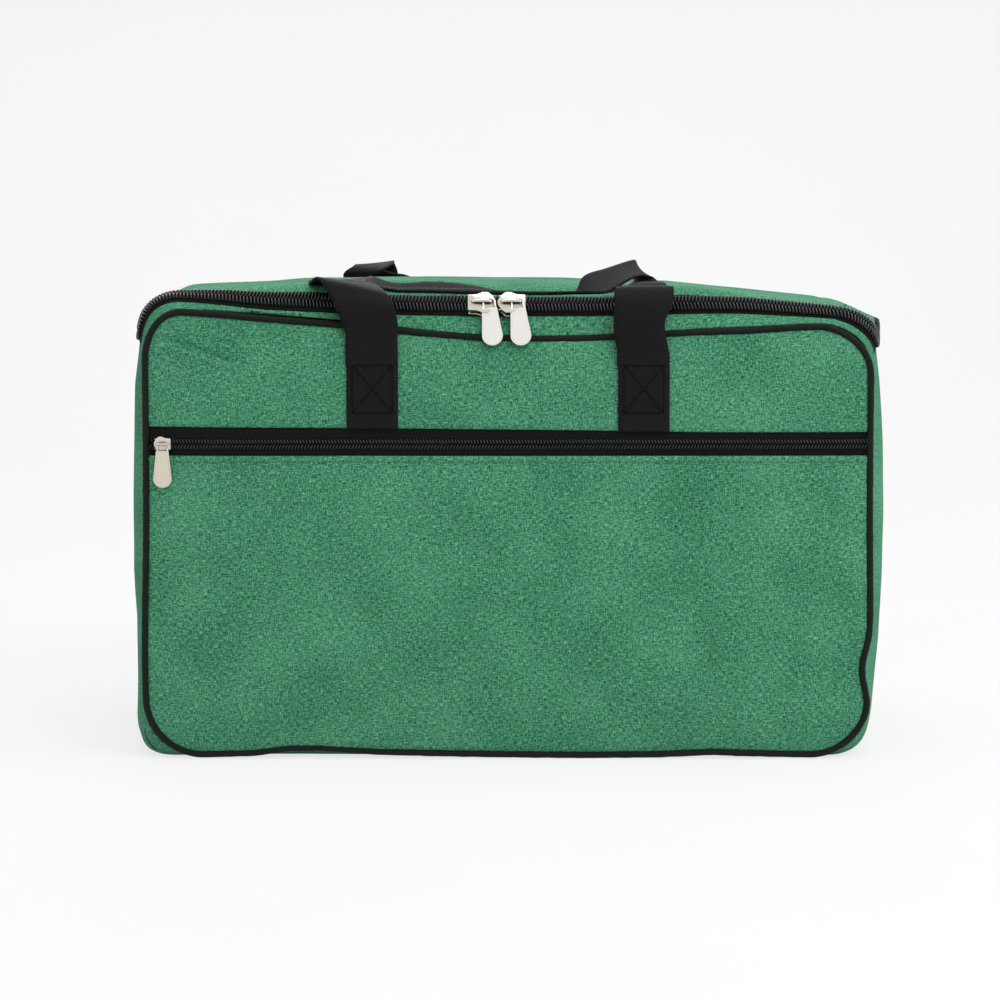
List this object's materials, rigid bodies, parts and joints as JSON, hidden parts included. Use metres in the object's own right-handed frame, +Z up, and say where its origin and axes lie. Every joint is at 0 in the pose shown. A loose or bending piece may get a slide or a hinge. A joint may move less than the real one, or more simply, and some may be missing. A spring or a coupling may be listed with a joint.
{
  "type": "board game bag",
  "caption": "Soft upright zip-top carry bag with padded walls, a flat zipped front pocket and webbing loop handles front and back",
  "frame": {"origin": "on the surface the bag stands on, under the middle of its outer box", "axes": "+X to the bag's left-to-right width seen from the front, -Y out of the front pocket, +Z up"},
  "size_m": [0.6084, 0.3404, 0.3938],
  "materials": {
    "green_cloth": "heathered green canvas, matt",
    "black_webbing": "flat black nylon webbing, slight sheen",
    "black_piping": "woven black piping cord cover",
    "black_tape": "black woven zip tape",
    "black_coil": "black nylon coil, half gloss",
    "bright_nickel": "bright nickel plating",
    "lining_cloth": "thin plain black lining",
    "padding": "light open-cell padding",
    "board": "stiff grey-brown board",
    "black_thread": "black sewing thread"
  },
  "bodies": {
    "bag": {"back_foam": "padding", "back_handle_left_anchor": "black_webbing", "back_handle_right_anchor": "black_webbing", "back_handle_stitches": "black_thread", "back_lining": "lining_cloth", "back_panel": "green_cloth", "back_piping": "black_piping", "back_seam_binding": "black_tape", "back_top_strip": "green_cloth", "bottom_board": "board", "bottom_foam": "padding", "bottom_lining": "lining_cloth", "bottom_panel": "green_cloth", "front_foam": "padding", "front_handle_left_anchor": "black_webbing", "front_handle_right_anchor": "black_webbing", "front_handle_stitches": "black_thread", "front_lining": "lining_cloth", "front_piping": "black_piping", "front_seam_binding": "black_tape", "front_top_strip": "green_cloth", "front_upper_foam": "padding", "front_upper_panel": "green_cloth", "left_side_foam": "padding", "left_side_lining": "lining_cloth", "left_side_panel": "green_cloth", "main_zip_end_tabs": "black_webbing", "main_zip_lower_coil": "black_coil", "main_zip_lower_tape": "black_tape", "pocket_back": "lining_cloth", "pocket_panel": "green_cloth", "pocket_zip_lower_coil": "black_coil", "pocket_zip_lower_tape": "black_tape", "pocket_zip_upper_coil": "black_coil", "pocket_zip_upper_tape": "black_tape", "right_side_foam": "padding", "right_side_lining": "lining_cloth", "right_side_panel": "green_cloth"},
    "lid": {"lid_panel": "green_cloth", "lid_foam": "padding", "lid_lining": "lining_cloth", "main_zip_upper_tape": "black_tape", "main_zip_upper_coil": "black_coil"},
    "left_slider": {"left_main_slider": "bright_nickel"},
    "right_slider": {"right_main_slider": "bright_nickel"},
    "left_tab": {"left_pull_tab": "bright_nickel"},
    "right_tab": {"right_pull_tab": "bright_nickel"},
    "pocket_slider_body": {"pocket_slider": "bright_nickel"},
    "pocket_tab": {"pocket_pull_tab": "bright_nickel"},
    "front_handle": {"front_handle_loop": "black_webbing"},
    "back_handle": {"back_handle_loop": "black_webbing"}
  },
  "joints": [
    {"name": "lid_hinge", "type": "hinge", "parent": "bag", "child": "lid", "pos_m": [0, 0.12, 0.376], "axis": [-1, 0, 0], "range_deg": [0, 110], "deforming": ["front_handle_loop", "back_handle_loop"]},
    {"name": "front_handle_swing", "type": "hinge", "parent": "bag", "child": "front_handle", "pos_m": [0, -0.1561, 0.3231], "axis": [1, 0, 0], "range_deg": [0, 150]},
    {"name": "back_handle_swing", "type": "hinge", "parent": "bag", "child": "back_handle", "pos_m": [0, 0.1561, 0.3231], "axis": [-1, 0, 0], "range_deg": [0, 150]},
    {"name": "left_slider_travel", "type": "slide", "parent": "lid", "child": "left_slider", "axis": [-1, 0, 0], "range_m": [0, 0.2]},
    {"name": "right_slider_travel", "type": "slide", "parent": "lid", "child": "right_slider", "axis": [1, 0, 0], "range_m": [0, 0.218]},
    {"name": "pocket_slider_travel", "type": "slide", "parent": "bag", "child": "pocket_slider_body", "axis": [1, 0, 0], "range_m": [0, 0.55]},
    {"name": "left_tab_swing", "type": "hinge", "parent": "left_slider", "child": "left_tab", "pos_m": [-0.0208, -0.15147, 0.36713], "axis": [-1, 0, 0], "range_deg": [0, 150]},
    {"name": "right_tab_swing", "type": "hinge", "parent": "right_slider", "child": "right_tab", "pos_m": [0.0028, -0.15147, 0.36713], "axis": [-1, 0, 0], "range_deg": [0, 150]},
    {"name": "pocket_tab_swing", "type": "hinge", "parent": "pocket_slider_body", "child": "pocket_tab", "pos_m": [-0.275, -0.15935, 0.25425], "axis": [-1, 0, 0], "range_deg": [0, 150]}
  ]
}
